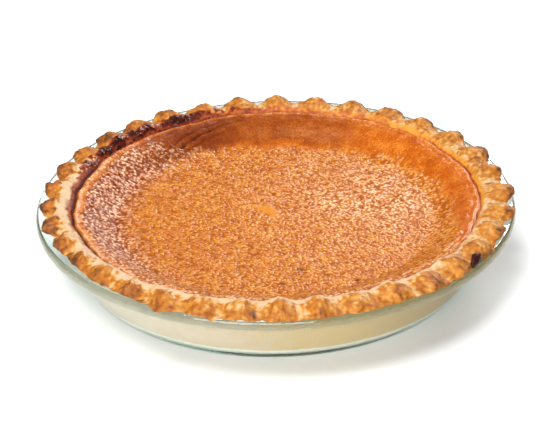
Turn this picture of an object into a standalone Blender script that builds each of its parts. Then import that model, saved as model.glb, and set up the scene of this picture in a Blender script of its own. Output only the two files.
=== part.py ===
"""Sweet potato pie in its clear glass pie dish, in metres, +Z up.

The origin is the centre of the dish's foot, on the table. Azimuth 0 is +X and a
quarter turn is +Y. Three pieces lie inside one another: the dish, the pastry
shell with its pinched edge, and the baked filling.
"""

import math
import random

import bmesh
import bpy

# Driving dimensions.
RIM_RADIUS = 0.121
DISH_HEIGHT = 0.036
FOOT_RADIUS = 0.0907
FOOT_CORNER = 0.0098
WALL_LEAN = math.radians(22)
GLASS = 0.0045
CRUST = 0.004
GAP = 0.0003

# The glass rim falls a little outwards and ends in a rounded lip, which is given
# as its reach outwards and half its height.
RIM_SIDE_STEPS = 6
RIM_THICKNESS = 0.0062
RIM_FILLET = 0.0011
RIM_FLAT_START = 0.1085
RIM_FALL = 0.0006
LIP = (0.0022, 0.0030)
LIP_CENTRE = (RIM_RADIUS - LIP[0], DISH_HEIGHT - RIM_FALL - LIP[1])
MOUTH_BEND = 0.0024
BEND_STEPS = 4
CORNER_STEPS = 5

# The pinched edge: so many pinches, not quite evenly spaced, all different.
PINCHES = 35
STEPS_EACH = 8
STEPS = 70
FINE_STEPS = PINCHES * STEPS_EACH
FIRST_PINCH = math.radians(4.84)
SPACING_DRIFT = (
    (1, math.radians(3.19), math.radians(-58)),
    (2, math.radians(1.12), math.radians(-37)),
)
PINCH_SLANT = 0.1
PINCH_SEED = 222977
PINCH_UNEVEN_LENGTH = 0.0015
PINCH_UNEVEN_HEIGHT = 0.0011
EDGE_LIMIT = 0.1205

# Seen from above a pinch is a broad round knuckle with a narrow notch beside it,
# but its crest rises only in the middle, so the notch looks wide from the side.
PLAN_SHARPNESS = 0.9
CREST_SHARPNESS = 2.2

# The edge's profile from the filling outwards, as radius and height on a pinch
# and in the valley between two pinches. The dough has slumped towards -Y, where
# it reaches over the glass rim, the valleys most of all, and it sits a little off
# centre.
EDGE_PROFILE = (
    ((0.1050, 0.0384), (0.1048, 0.0380)),
    ((0.1078, 0.0402), (0.1070, 0.0386)),
    ((0.1110, 0.0417), (0.1093, 0.0385)),
    ((0.1144, 0.0414), (0.1112, 0.0377)),
    ((0.1182, 0.0395), (0.1140, 0.0369)),
    ((0.1186, 0.0373), (0.1148, 0.0366)),
)
UNDERSIDE_RADIUS = 0.1120
UNDERSIDE_SHARE = 0.81
LIFT = 0.0005
PINCH_SLUMP = 0.0011
VALLEY_SLUMP = 0.0024
SHIFT = 0.0010
SHIFT_TO = math.radians(10)

# In front the edge hangs over the glass lip: how far outwards and down.
DROOP_AT = math.radians(274)
DROOP_REACH = math.radians(62)
PINCH_DROOP = (0.0008, 0.0023)
VALLEY_DROOP = (0.0026, 0.0012)

# The filling's top: it climbs a little more towards one side, and has a thin
# raised lip, a broad slope and a sunk middle. The lip's top and the slope's start
# are given as how far in from the edge they are, and how far above it.
FILLING_EDGE = (0.1024, 0.0352)
CLIMB = (0.0007, 0.0010)
CLIMB_TO = math.radians(75)
LIP_TOP = (0.0014, 0.0005)
SLOPE_START = (0.0037, -0.0004)
SUNK_HEIGHT = 0.0268
SUNK_RADIUS = 0.0790
SLOPE_STEPS = 5
MIDDLE_RADII = (0.062, 0.040, 0.018)
MIDDLE_DOME = 0.0007


def clear_scene():
    for item in list(bpy.data.objects):
        bpy.data.objects.remove(item)


def arc(centre, radius, start, end, steps):
    """Points on an arc in the radius-height plane, angles from +radius."""
    points = []
    for step in range(steps + 1):
        angle = start + (end - start) * step / steps
        points.append((centre[0] + radius * math.cos(angle), centre[1] + radius * math.sin(angle)))
    return points


def bowl_side(depth, top):
    """The bowl's side, a depth inside the dish's outer face, from floor to top."""
    centre = (FOOT_RADIUS, FOOT_CORNER)
    points = arc(centre, FOOT_CORNER - depth, -math.pi / 2, -WALL_LEAN, CORNER_STEPS)
    last = points[-1]
    points.append((last[0] + (top - last[1]) * math.tan(WALL_LEAN), top))
    return points


def dish_profile():
    """Once round the glass: foot, outer wall, rim, inner wall and floor."""
    underside = DISH_HEIGHT - RIM_THICKNESS
    outer = bowl_side(0, underside - RIM_FILLET)
    under = [(outer[-1][0] + RIM_FILLET, underside)]
    half_turn = arc((0, 0), 1, -math.pi / 2, math.pi / 2, RIM_SIDE_STEPS)
    lip = [(LIP_CENTRE[0] + LIP[0] * x, LIP_CENTRE[1] + LIP[1] * y) for x, y in half_turn]
    bend_centre = (RIM_FLAT_START, DISH_HEIGHT - MOUTH_BEND)
    bend = arc(bend_centre, MOUTH_BEND, math.pi / 2, math.pi - WALL_LEAN, BEND_STEPS)
    inner = bowl_side(GLASS, bend[-1][1])[:-1]
    return [(0, 0)] + outer + under + lip + bend + inner[::-1] + [(0, GLASS)]


def glass_top(radius):
    """Height of the glass rim under the dough: it falls outwards, then rounds the lip."""
    share = min(1, (radius - RIM_FLAT_START) / (LIP_CENTRE[0] - RIM_FLAT_START))
    out = max(0, (radius - LIP_CENTRE[0]) / LIP[0])
    return DISH_HEIGHT - RIM_FALL * share - LIP[1] * (1 - math.sqrt(1 - out * out))


def pinch_at(azimuth, slant=0.0):
    """Which pinch this azimuth is on, as a number that is whole at its ridge."""
    drifted = azimuth - FIRST_PINCH
    for waves, size, start in SPACING_DRIFT:
        drifted -= size * math.sin(waves * azimuth + start)
    return drifted * PINCHES / math.tau + slant


def ridge(pinch, sharpness):
    """1 on a pinch's ridge and 0 in the valleys, sharper where the number is larger."""
    return abs(math.cos(math.pi * pinch)) ** sharpness


def unevenness():
    """How much longer and higher than usual each pinch is."""
    draw = random.Random(PINCH_SEED)
    return [(draw.uniform(-1, 1), draw.uniform(-1, 1)) for _ in range(PINCHES)]


def edge_point(azimuth, station, uneven):
    """Radius and height of the edge at one station of its profile."""
    outward = station / (len(EDGE_PROFILE) - 1)
    pinch = pinch_at(azimuth, PINCH_SLANT * (1 - outward))
    share = ridge(pinch, PLAN_SHARPNESS)
    crest = ridge(pinch, CREST_SHARPNESS)
    high, low = EDGE_PROFILE[station]
    longer, higher = uneven[round(pinch) % PINCHES]
    slump = VALLEY_SLUMP + (PINCH_SLUMP - VALLEY_SLUMP) * share
    radius = low[0] + (high[0] - low[0] + PINCH_UNEVEN_LENGTH * longer * outward) * share
    radius += (SHIFT * math.cos(azimuth - SHIFT_TO) - slump * math.sin(azimuth)) * outward
    height = low[1] + (high[1] - low[1] + PINCH_UNEVEN_HEIGHT * higher * (1 - outward)) * crest
    aside = math.remainder(azimuth - DROOP_AT, math.tau) / DROOP_REACH
    droop = math.exp(-aside ** 6) * outward ** 2
    radius += (VALLEY_DROOP[0] + (PINCH_DROOP[0] - VALLEY_DROOP[0]) * share) * droop
    height -= (VALLEY_DROOP[1] + (PINCH_DROOP[1] - VALLEY_DROOP[1]) * share) * droop
    radius = min(radius, EDGE_LIMIT)
    return radius, max(height, glass_top(radius) + LIFT)


def underside_point(azimuth, uneven):
    """Where the dough's underside turns up to its edge, just clear of the glass."""
    tip = edge_point(azimuth, len(EDGE_PROFILE) - 1, uneven)[0]
    radius = UNDERSIDE_RADIUS + (tip - UNDERSIDE_RADIUS) * UNDERSIDE_SHARE
    return radius, glass_top(radius) + LIFT


def filling_point(azimuth, inset=0.0, rise=0.0):
    """A point of the filling's edge, or one moved inwards and up from it."""
    climb = math.cos(azimuth - CLIMB_TO)
    radius = FILLING_EDGE[0] + CLIMB[0] * climb - inset
    return radius, FILLING_EDGE[1] + CLIMB[1] * climb + rise


def ring(mesh, steps, place, *settings):
    """A closed loop of vertices: place gives each one's radius and height."""
    loop = []
    for step in range(steps):
        azimuth = math.tau * step / steps
        radius, height = place(azimuth, *settings)
        spot = (radius * math.cos(azimuth), radius * math.sin(azimuth), height)
        loop.append(mesh.verts.new(spot))
    return loop


def flat_ring(mesh, steps, point):
    return ring(mesh, steps, lambda azimuth: point)


def skin(mesh, first, second):
    """Faces from one loop to the next; the loops' counts divide one another."""
    coarse, fine = (first, second) if len(first) <= len(second) else (second, first)
    ratio = len(fine) // len(coarse)
    for index, corner in enumerate(coarse):
        following = coarse[(index + 1) % len(coarse)]
        start = index * ratio
        if ratio == 1:
            mesh.faces.new((corner, following, fine[(start + 1) % len(fine)], fine[start]))
            continue
        for step in range(ratio):
            near = corner if step < ratio / 2 else following
            mesh.faces.new((near, fine[(start + step + 1) % len(fine)], fine[start + step]))
        middle = fine[start + ratio // 2]
        mesh.faces.new((corner, following, middle))


def cap(mesh, loop, height):
    """Closes a loop with triangles round a point on the axis."""
    tip = mesh.verts.new((0, 0, height))
    for index, corner in enumerate(loop):
        mesh.faces.new((tip, corner, loop[(index + 1) % len(loop)]))


def solid_from(name, mesh, material):
    """Turns a finished bmesh into a shaded object with one material."""
    bmesh.ops.recalc_face_normals(mesh, faces=mesh.faces)
    data = bpy.data.meshes.new(name)
    mesh.to_mesh(data)
    mesh.free()
    data.shade_smooth()
    data.set_sharp_from_angle(angle=math.radians(40))
    data.materials.append(material)
    item = bpy.data.objects.new(name, data)
    bpy.context.scene.collection.objects.link(item)
    return item


def finish(name, colour, roughness, transmission=0.0):
    material = bpy.data.materials.new(name)
    material.use_nodes = True
    shader = material.node_tree.nodes["Principled BSDF"]
    shader.inputs["Base Color"].default_value = (*colour, 1)
    shader.inputs["Roughness"].default_value = roughness
    shader.inputs["Metallic"].default_value = 0
    shader.inputs["Transmission Weight"].default_value = transmission
    return material


def make_dish():
    """The glass dish, a profile spun once round the axis."""
    mesh = bmesh.new()
    profile = [mesh.verts.new((radius, 0, height)) for radius, height in dish_profile()]
    edges = [mesh.edges.new(pair) for pair in zip(profile, profile[1:])]
    bmesh.ops.spin(
        mesh,
        geom=profile + edges,
        cent=(0, 0, 0),
        axis=(0, 0, 1),
        angle=math.tau,
        steps=STEPS,
    )
    bmesh.ops.remove_doubles(mesh, verts=mesh.verts, dist=1e-6)
    return solid_from("glass_dish", mesh, finish("glass", (0.82, 0.92, 0.88), 0.05, 0.9))


def make_crust():
    """The pastry shell: floor, side and pinched edge, all one piece of dough."""
    mesh = bmesh.new()
    uneven = unevenness()
    outside = bowl_side(GLASS + GAP, DISH_HEIGHT - MOUTH_BEND)
    bend_centre = (RIM_FLAT_START, DISH_HEIGHT - MOUTH_BEND)
    bend = arc(bend_centre, MOUTH_BEND + GAP, math.pi - WALL_LEAN, math.pi / 2, BEND_STEPS)
    loops = [flat_ring(mesh, STEPS, point) for point in outside[:-1] + bend]
    floor = loops[0]
    loops.append(flat_ring(mesh, STEPS, (UNDERSIDE_RADIUS, glass_top(UNDERSIDE_RADIUS) + GAP)))
    loops.append(ring(mesh, FINE_STEPS, underside_point, uneven))
    for station in reversed(range(len(EDGE_PROFILE))):
        loops.append(ring(mesh, FINE_STEPS, edge_point, station, uneven))
    loops.append(ring(mesh, STEPS, filling_point))
    inside = bowl_side(GLASS + GAP + CRUST, FILLING_EDGE[1])[:-1]
    loops += [flat_ring(mesh, STEPS, point) for point in inside[::-1]]
    for first, second in zip(loops, loops[1:]):
        skin(mesh, first, second)
    cap(mesh, floor, outside[0][1])
    cap(mesh, loops[-1], inside[0][1])
    return solid_from("crust", mesh, finish("baked pastry", (0.62, 0.34, 0.11), 0.6))


def slope_point(azimuth, share):
    """A point on the slope from under the raised lip to the sunk middle."""
    radius, height = filling_point(azimuth, *SLOPE_START)
    ease = share * share * (3 - 2 * share)
    return radius + (SUNK_RADIUS - radius) * share, height + (SUNK_HEIGHT - height) * ease


def make_filling():
    """The baked filling, one solid from the pastry floor to its sunk top."""
    mesh = bmesh.new()
    side = bowl_side(GLASS + CRUST + 2 * GAP, FILLING_EDGE[1])[:-1]
    loops = [flat_ring(mesh, STEPS, point) for point in side]
    loops.append(ring(mesh, STEPS, filling_point, GAP))
    loops.append(ring(mesh, STEPS, filling_point, *LIP_TOP))
    for step in range(SLOPE_STEPS + 1):
        loops.append(ring(mesh, STEPS, slope_point, step / SLOPE_STEPS))
    for radius in MIDDLE_RADII:
        dome = MIDDLE_DOME * (1 - (radius / SUNK_RADIUS) ** 2)
        loops.append(flat_ring(mesh, STEPS, (radius, SUNK_HEIGHT + dome)))
    for first, second in zip(loops, loops[1:]):
        skin(mesh, first, second)
    cap(mesh, loops[0], side[0][1])
    cap(mesh, loops[-1], SUNK_HEIGHT + MIDDLE_DOME)
    return solid_from("filling", mesh, finish("baked filling", (0.62, 0.20, 0.035), 0.35))


def main():
    clear_scene()
    make_dish()
    make_crust()
    make_filling()


main()
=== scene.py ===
# %% [markdown]
# # A sweet potato pie in its glass pie dish
# The imported model holds three solids that lie inside one another: the pressed
# glass dish, the pastry shell with its pinched edge, and the baked filling. Their
# sizes are right but their faces are coarse. This lesson makes a fine mesh for
# each, in the same form, and gives each a material worked out from the real one.
#
# We load the model first and keep its box, because the finished pie is made to fit it.

# %% Load the imported model
import math
import random

import bmesh
import bpy
import numpy as np
from mathutils import Matrix, Vector, noise
from mathutils.bvhtree import BVHTree


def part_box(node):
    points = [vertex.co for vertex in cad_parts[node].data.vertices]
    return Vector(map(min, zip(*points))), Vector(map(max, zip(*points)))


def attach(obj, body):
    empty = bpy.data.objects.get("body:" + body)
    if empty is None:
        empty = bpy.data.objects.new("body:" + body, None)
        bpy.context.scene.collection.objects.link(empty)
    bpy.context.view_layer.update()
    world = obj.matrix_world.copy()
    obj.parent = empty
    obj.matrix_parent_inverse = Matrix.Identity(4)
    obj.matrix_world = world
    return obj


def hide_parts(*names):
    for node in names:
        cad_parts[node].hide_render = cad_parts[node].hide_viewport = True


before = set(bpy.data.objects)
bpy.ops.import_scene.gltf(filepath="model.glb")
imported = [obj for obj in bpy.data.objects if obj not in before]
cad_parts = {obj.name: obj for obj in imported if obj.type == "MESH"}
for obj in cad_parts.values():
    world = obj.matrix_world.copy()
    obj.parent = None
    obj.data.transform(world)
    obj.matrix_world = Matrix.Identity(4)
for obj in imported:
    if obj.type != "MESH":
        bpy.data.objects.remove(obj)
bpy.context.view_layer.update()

print("solids:", sorted(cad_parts))

# %% [markdown]
# ## Measures
# No place is guessed: it comes from the solids. Blender's unit here is the metre,
# and MM turns millimetres into metres, so the numbers stay readable. What a box
# can't tell, such as where the wall starts to bend, is repeated from the design.

# %% Sizes of the dish and of the shell's layers
MM = 0.001
dish_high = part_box("glass_dish")[1]
crust_low, crust_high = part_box("crust")
filling_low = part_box("filling")[0]

GAP = 0.3 * MM
RIM_RADIUS = dish_high.x
DISH_HEIGHT = dish_high.z
GLASS = crust_low.z - GAP
CRUST = filling_low.z - crust_low.z - GAP
FOOT_RADIUS = 90.7 * MM
FOOT_CORNER = 9.8 * MM
WALL_LEAN = math.radians(22)
RIM_THICKNESS = 6.2 * MM
RIM_FLAT_START = 108.5 * MM
RIM_FALL = 0.6 * MM
MOUTH_BEND = 2.4 * MM
LIP = (2.2 * MM, 3.0 * MM)
LIP_CENTRE = (RIM_RADIUS - LIP[0], DISH_HEIGHT - RIM_FALL - LIP[1])
print("rim %.1f mm across, glass %.1f mm thick" % (2000 * RIM_RADIUS, 1000 * GLASS))

# %% [markdown]
# ## Colours
# Designers write a colour as a hex value, which is sRGB: its numbers are spaced
# for the eye. A render adds up light, so it needs linear numbers. One function
# does that for every material below.

# %% Turn a hex colour into linear light
def linear(code, alpha=1.0):
    """A hex colour such as "#E8C48A" as linear red, green, blue and alpha."""
    shares = [int(code[start:start + 2], 16) / 255 for start in (1, 3, 5)]
    light = [s / 12.92 if s <= 0.04045 else ((s + 0.055) / 1.055) ** 2.4 for s in shares]
    return (*light, alpha)


print("pale crust in linear light:", [round(share, 3) for share in linear("#D2AE88")])

# %% [markdown]
# ## Nodes
# A material is a tree of nodes, each a small machine with inputs and outputs. They
# could be clicked together by hand. Written as code, they can be read from top to
# bottom: one function adds a node, sets its options and links its inputs.

# %% Add shader nodes
def add(material, kind, inputs=None, stops=(), **settings):
    """Adds a shader node, sets its options, and sets or links its inputs."""
    tree = material.node_tree
    node = tree.nodes.new("ShaderNode" + kind)
    for name, value in settings.items():
        setattr(node, name, value)
    for name, value in (inputs or {}).items():
        if isinstance(value, bpy.types.NodeSocket):
            tree.links.new(value, node.inputs[name])
        else:
            node.inputs[name].default_value = value
    for number, (place, code) in enumerate(stops):
        if number >= len(node.color_ramp.elements):
            node.color_ramp.elements.new(place)
        node.color_ramp.elements[number].position = place
        node.color_ramp.elements[number].color = linear(code)
    return node


def empty_material(name):
    """A material whose tree holds only the output node."""
    material = bpy.data.materials.new(name)
    material.use_nodes = True
    material.node_tree.nodes.clear()
    output = add(material, "OutputMaterial")
    return material, output


def connect(material, source, target):
    """Links an output to an input."""
    material.node_tree.links.new(source, target)


def finish_material(material, surface, output):
    """Links the surface, and says how many nodes the material took."""
    connect(material, surface, output.inputs["Surface"])
    print("%s: %d nodes" % (material.name, len(material.node_tree.nodes)))
    return material


# %% [markdown]
# ## Camera
# The pie is looked at from an arm's length and a half above the table, with a
# long lens that keeps the round dish from stretching. The camera stands straight
# in front, on -Y, and leans a little to one side, as a hand-held one does.

# %% Camera
CAMERA_DISTANCE = 1.5
CAMERA_ELEVATION = math.radians(28.7)
CAMERA_AIM = Vector((-0.44, 10.83, 19.79)) * MM
CAMERA_ROLL = math.radians(-1.3)
LENS_MM = 192.49


def make_camera():
    """A long lens on a spot far enough away to see the whole dish."""
    data = bpy.data.cameras.new("camera")
    data.lens = LENS_MM
    camera = bpy.data.objects.new("camera", data)
    bpy.context.scene.collection.objects.link(camera)
    back = Vector((0, -math.cos(CAMERA_ELEVATION), math.sin(CAMERA_ELEVATION)))
    camera.location = back * CAMERA_DISTANCE
    turn = (CAMERA_AIM - camera.location).to_track_quat("-Z", "Y")
    camera.rotation_euler = (turn.to_matrix() @ Matrix.Rotation(CAMERA_ROLL, 3, "Z")).to_euler()
    bpy.context.scene.camera = camera
    return camera


camera = make_camera()
print("camera at", [round(c, 3) for c in camera.location])

# %% [markdown]
# ## Light
# A studio lights food from high up, so that it looks as it does on a table. A
# softbox overhead, a little in front and to the left, makes the short soft shadow
# on the right. A wide one low in front lights the wall of the dish, which leans
# outwards and gets little from above. A narrow one stands low behind on the
# right: the glossy filling mirrors it, and each tiny blister shows it as a pale
# dot. The world is a dim white, which keeps the shadows soft.

# %% World and softboxes
WORLD_STRENGTH = 0.22
PIE_CENTRE = Vector((0, 0, 30)) * MM

# Each softbox: its name, its place, its width and height in metres, and its watts.
SOFTBOXES = (
    ("overhead from the left", (-0.42, -0.5, 1.9), 0.9, 0.9, 38.0),
    ("low fill from the front", (-0.4, -2.0, 0.85), 2.0, 1.1, 44.0),
    ("low strip behind right", (0.65, 1.6, 0.95), 0.8, 0.45, 20.0),
)


def make_world():
    """The same dim, slightly cool white from all sides."""
    world = bpy.data.worlds.new("bright room")
    world.use_nodes = True
    background = world.node_tree.nodes["Background"]
    background.inputs["Color"].default_value = linear("#F4F7FF")
    background.inputs["Strength"].default_value = WORLD_STRENGTH
    bpy.context.scene.world = world


def softbox(name, place, wide, high, watts):
    """A rectangular light that faces the pie."""
    data = bpy.data.lights.new(name, "AREA")
    data.shape = "RECTANGLE"
    data.size = wide
    data.size_y = high
    data.energy = watts
    light = bpy.data.objects.new(name, data)
    bpy.context.scene.collection.objects.link(light)
    light.location = place
    light.rotation_euler = (PIE_CENTRE - light.location).to_track_quat("-Z", "Y").to_euler()


make_world()
for box in SOFTBOXES:
    softbox(*box)
bpy.context.scene.view_settings.view_transform = "Standard"

# %% [markdown]
# ## Floor
# The pie stands on matt white card, as in a shop's studio. Card is paper, so it
# is bright and rough, and its grain of 2.5 mm is barely seen. A real one would be
# swept up behind into a curve. A large flat square does as well here, since the
# camera looks down on it and never sees its far edge.

# %% Floor
FLOOR_SIDE = 12.0
CARD_GRAIN = 2.5 * MM


def floor_material():
    """Matt white card: bright, with no gloss and a very faint grain."""
    material, output = empty_material("matt white card")
    grain = add(material, "TexNoise", {"Scale": 1 / CARD_GRAIN, "Detail": 2.0})
    tone = add(material, "ValToRGB", {"Fac": grain.outputs["Fac"]}, stops=(
        (0.0, "#F1F1F2"),
        (1.0, "#F4F4F4"),
    ))
    card = add(material, "BsdfPrincipled", {
        "Base Color": tone.outputs["Color"],
        "Roughness": 0.9,
        "Specular IOR Level": 0.1,
    })
    return finish_material(material, card.outputs["BSDF"], output)


def make_floor():
    """One large square, which is no part of the pie."""
    half = FLOOR_SIDE / 2
    corners = [(-half, -half, 0), (half, -half, 0), (half, half, 0), (-half, half, 0)]
    data = bpy.data.meshes.new("floor")
    data.from_pydata(corners, [], [(0, 1, 2, 3)])
    data.materials.append(floor_material())
    floor = bpy.data.objects.new("floor", data)
    bpy.context.scene.collection.objects.link(floor)


make_floor()

# %% [markdown]
# ## A mesh over loops
# All three pieces are rings of vertices round one axis. Blender's Screw modifier
# turns one profile, but here the profile changes from pinch to pinch, so we lay
# out the rings ourselves. A ring's radius and height may be one number, or one
# for each azimuth.

# %% Rings round the axis
def turn(steps):
    """That many azimuths evenly round the axis."""
    return np.arange(steps) * math.tau / steps


def ring(azimuths, radius, height):
    """Places on a ring. Radius and height are numbers or arrays."""
    across = np.broadcast_to(radius, azimuths.shape)
    up = np.broadcast_to(height, azimuths.shape)
    return np.stack((across * np.cos(azimuths), across * np.sin(azimuths), up), axis=1)


print("a square of four azimuths:", np.round(ring(turn(4), 1, 0), 1).tolist())

# %% [markdown]
# Two neighbouring rings are stitched with triangles, even when one has more
# vertices than the other: we walk round both, and always take the next step on
# the ring that lags behind. A stack of rings with a point at each end is closed,
# so glass and light have a true inside to work with.

# %% Stitch loops into a closed mesh
def stitch(first, second):
    """Triangles between two closed loops of vertex numbers."""
    faces = []
    one = two = 0
    while one < len(first) or two < len(second):
        a = first[one % len(first)]
        b = second[two % len(second)]
        if (one + 1) * len(second) <= (two + 1) * len(first):
            one += 1
            faces.append((a, b, first[one % len(first)]))
        else:
            two += 1
            faces.append((a, b, second[two % len(second)]))
    return faces


def skin(name, loops, first_tip, last_tip):
    """A closed smooth mesh over a stack of loops, with a point to close each end."""
    starts = np.cumsum([0] + [len(loop) for loop in loops])
    numbers = [range(start, end) for start, end in zip(starts, starts[1:])]
    places = np.concatenate(loops + [np.array([first_tip, last_tip])])
    faces = []
    for below, above in zip(numbers, numbers[1:]):
        faces += stitch(below, above)
    for tip, loop in ((starts[-1], numbers[0]), (starts[-1] + 1, numbers[-1])):
        faces += [(tip, loop[step], loop[(step + 1) % len(loop)]) for step in range(len(loop))]
    data = bpy.data.meshes.new(name)
    data.from_pydata(places.tolist(), [], faces)
    mesh = bmesh.new()
    mesh.from_mesh(data)
    bmesh.ops.recalc_face_normals(mesh, faces=mesh.faces)
    mesh.to_mesh(data)
    mesh.free()
    data.shade_smooth()
    piece = bpy.data.objects.new(name, data)
    bpy.context.scene.collection.objects.link(piece)
    print("%s: %d triangles" % (name, len(data.polygons)))
    return piece


# %% [markdown]
# ## Cross-sections
# The dish and the layers in it share one cross-section: a flat foot, a round
# corner and a sloping wall. Each layer lies a little further in than the last, so
# one function draws them all, from the depth inside the dish's outer face.

# %% Arcs and the bowl's side
def arc(centre, radius, start, end, steps):
    """Points on an arc in the radius-height plane, angles from +radius."""
    angles = [start + (end - start) * step / steps for step in range(steps + 1)]
    return [(centre[0] + radius * math.cos(a), centre[1] + radius * math.sin(a)) for a in angles]


def bowl_side(depth, top, steps):
    """The bowl's side, a depth inside the dish's outer face, from floor to top."""
    centre = (FOOT_RADIUS, FOOT_CORNER)
    points = arc(centre, FOOT_CORNER - depth, -math.pi / 2, -WALL_LEAN, steps)
    last = points[-1]
    for step in range(1, steps + 1):
        rise = (top - last[1]) * step / steps
        points.append((last[0] + rise * math.tan(WALL_LEAN), last[1] + rise))
    return points


print("the wall leans out by %d degrees" % round(math.degrees(WALL_LEAN)))

# %% [markdown]
# ## The glass dish
# The dish is pressed: a plunger squeezes molten glass into an iron mould, so it is
# thick, its edges are round, and its surface is smooth but never quite even. In
# Blender it is one turned profile that goes up the outside, round the lip and back
# down the inside, so that light is bent on its way in and on its way out.

# %% Dish mesh
DISH_STEPS = 240
FOOT_SHARES = (0.3, 0.7)
RIM_FILLET = 1.1 * MM
RIM_FILLET_OUT = 1.6 * RIM_FILLET
SOLID_SIDES = 70


def dish_profile():
    """Once round the glass: foot, outer wall, rim, inner wall and floor."""
    # The solid's lip has flat sides, and the round one stays inside them.
    inset = RIM_RADIUS * (1 - math.cos(math.pi / SOLID_SIDES))
    foot = [(FOOT_RADIUS * share, 0) for share in FOOT_SHARES]
    fillet_height = DISH_HEIGHT - RIM_THICKNESS - RIM_FILLET
    outer = bowl_side(0, fillet_height, 10)
    fillet_centre = (outer[-1][0] + RIM_FILLET_OUT, fillet_height)
    corner = arc(fillet_centre, RIM_FILLET, math.pi, math.pi / 2, 5)
    half_turn = arc((0, 0), 1, -math.pi / 2, math.pi / 2, 16)
    lip = [(LIP_CENTRE[0] - inset + LIP[0] * x, LIP_CENTRE[1] + LIP[1] * y) for x, y in half_turn]
    bend_centre = (RIM_FLAT_START, DISH_HEIGHT - MOUTH_BEND)
    bend = arc(bend_centre, MOUTH_BEND, math.pi / 2, math.pi - WALL_LEAN, 8)
    inner = bowl_side(GLASS, bend[-1][1], 10)[:-1]
    return foot + outer + corner[1:] + lip + bend + inner[::-1]


def make_dish():
    """The profile turned once round the axis."""
    azimuths = turn(DISH_STEPS)
    loops = [ring(azimuths, radius, height) for radius, height in dish_profile()]
    return skin("pressed_glass_dish", loops, (0, 0, 0), (0, 0, GLASS))


dish = make_dish()

# %% [markdown]
# Kitchen glass of this kind is soda-lime glass, with an index of refraction of
# about 1.52. A little iron in the sand makes it faintly green, which shows where
# light travels a long way inside, as along the rim. A Volume Absorption node does
# just that, and its density is the share lost for each metre. The plunger cooled
# unevenly, so a faint wide bump bends the lights on the glass. The Transparent
# shader on shadow rays lets light through to the pastry without the slow search
# for paths that bend twice.

# %% Glass material
DISH_RIPPLE = 0.06 * MM
DISH_RIPPLE_LENGTH = 22 * MM
GREEN_DENSITY = 12.0


def glass_material():
    """Clear pressed soda-lime glass with a green edge."""
    material, output = empty_material("clear pressed soda-lime glass")
    glass = add(material, "BsdfPrincipled", {
        "Base Color": linear("#F7FCFA"),
        "Roughness": 0.02,
        "IOR": 1.52,
        "Transmission Weight": 1.0,
    })
    ripple = add(material, "TexNoise", {"Scale": 1 / DISH_RIPPLE_LENGTH, "Detail": 1.0})
    bump = add(material, "Bump", {"Height": ripple.outputs["Fac"], "Distance": DISH_RIPPLE})
    connect(material, bump.outputs["Normal"], glass.inputs["Normal"])
    shade = add(material, "BsdfTransparent", {"Color": linear("#EEF5F2")})
    ray = add(material, "LightPath")
    mix = add(material, "MixShader", {"Fac": ray.outputs["Is Shadow Ray"]})
    connect(material, glass.outputs["BSDF"], mix.inputs[1])
    connect(material, shade.outputs["BSDF"], mix.inputs[2])
    tint = add(material, "VolumeAbsorption", {"Color": linear("#92E4D0"), "Density": GREEN_DENSITY})
    connect(material, tint.outputs["Volume"], output.inputs["Volume"])
    return finish_material(material, mix.outputs["Shader"], output)


dish.data.materials.append(glass_material())
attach(dish, "root")
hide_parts("glass_dish")

# %% [markdown]
# ## The pinched edge
# A baker pinches the dough between a thumb and two fingers, again and again round
# the rim. Each pinch leaves a rounded knuckle that points outwards and a hollow
# beside it. We describe one cross-section on a knuckle and one in a hollow, and
# slide from one to the other and back as we go round: 35 times, never quite
# evenly, since a hand did it.

# %% Where the pinches are
PINCHES = 35
FIRST_PINCH = math.radians(4.84)
SPACING_DRIFT = (
    (1, math.radians(3.19), math.radians(-58)),
    (2, math.radians(1.12), math.radians(-37)),
)
PINCH_SLANT = 0.1
PINCH_SEED = 222977
MIDDLE_OF_EDGE = 115 * MM


def pinch_at(azimuths, slant=0.0):
    """Which pinch each azimuth is on, as a number that is whole at its knuckle."""
    drifted = azimuths - FIRST_PINCH
    for waves, size, start in SPACING_DRIFT:
        drifted = drifted - size * np.sin(waves * azimuths + start)
    return drifted * PINCHES / math.tau + slant


def knuckle(pinch, sharpness):
    """1 on a knuckle and 0 in a hollow, narrower where the number is larger."""
    return np.abs(np.cos(math.pi * pinch)) ** sharpness


def near(angles, centre):
    """How far each angle is from a centre, in degrees, the short way round."""
    return np.degrees((angles - centre + math.pi) % math.tau - math.pi)


def zone(azimuths, degrees, reach, power=4):
    """1 on one side of the pie and 0 away from it, and about a third at the reach."""
    return np.exp(-(near(azimuths, math.radians(degrees)) / reach) ** power)


def unevenness():
    """How much longer and higher than usual each pinch is."""
    draw = random.Random(PINCH_SEED)
    return np.array([(draw.uniform(-1, 1), draw.uniform(-1, 1)) for _ in range(PINCHES)])


UNEVEN = unevenness()
print("a knuckle every %.1f mm" % (1000 * math.tau * MIDDLE_OF_EDGE / PINCHES))

# %% [markdown]
# From the filling outwards, a knuckle climbs, is highest over the inner part of
# the rim and rounds off to its tip, while a hollow stays low. Six stations
# describe both. The dough rests on the glass, whose height under it is worked out
# from the dish: a slightly falling flat, then the round of the lip.

# %% Profile of the edge, and the glass under it
# Radius and height in mm on a knuckle and in a hollow, from the filling outwards.
EDGE_PROFILE = (
    ((105.0, 38.4), (104.8, 38.0)),
    ((107.8, 40.2), (107.0, 38.6)),
    ((111.0, 41.7), (109.3, 38.5)),
    ((114.4, 41.4), (111.2, 37.7)),
    ((118.2, 39.5), (114.0, 36.9)),
    ((118.6, 37.3), (114.8, 36.6)),
)


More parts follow.
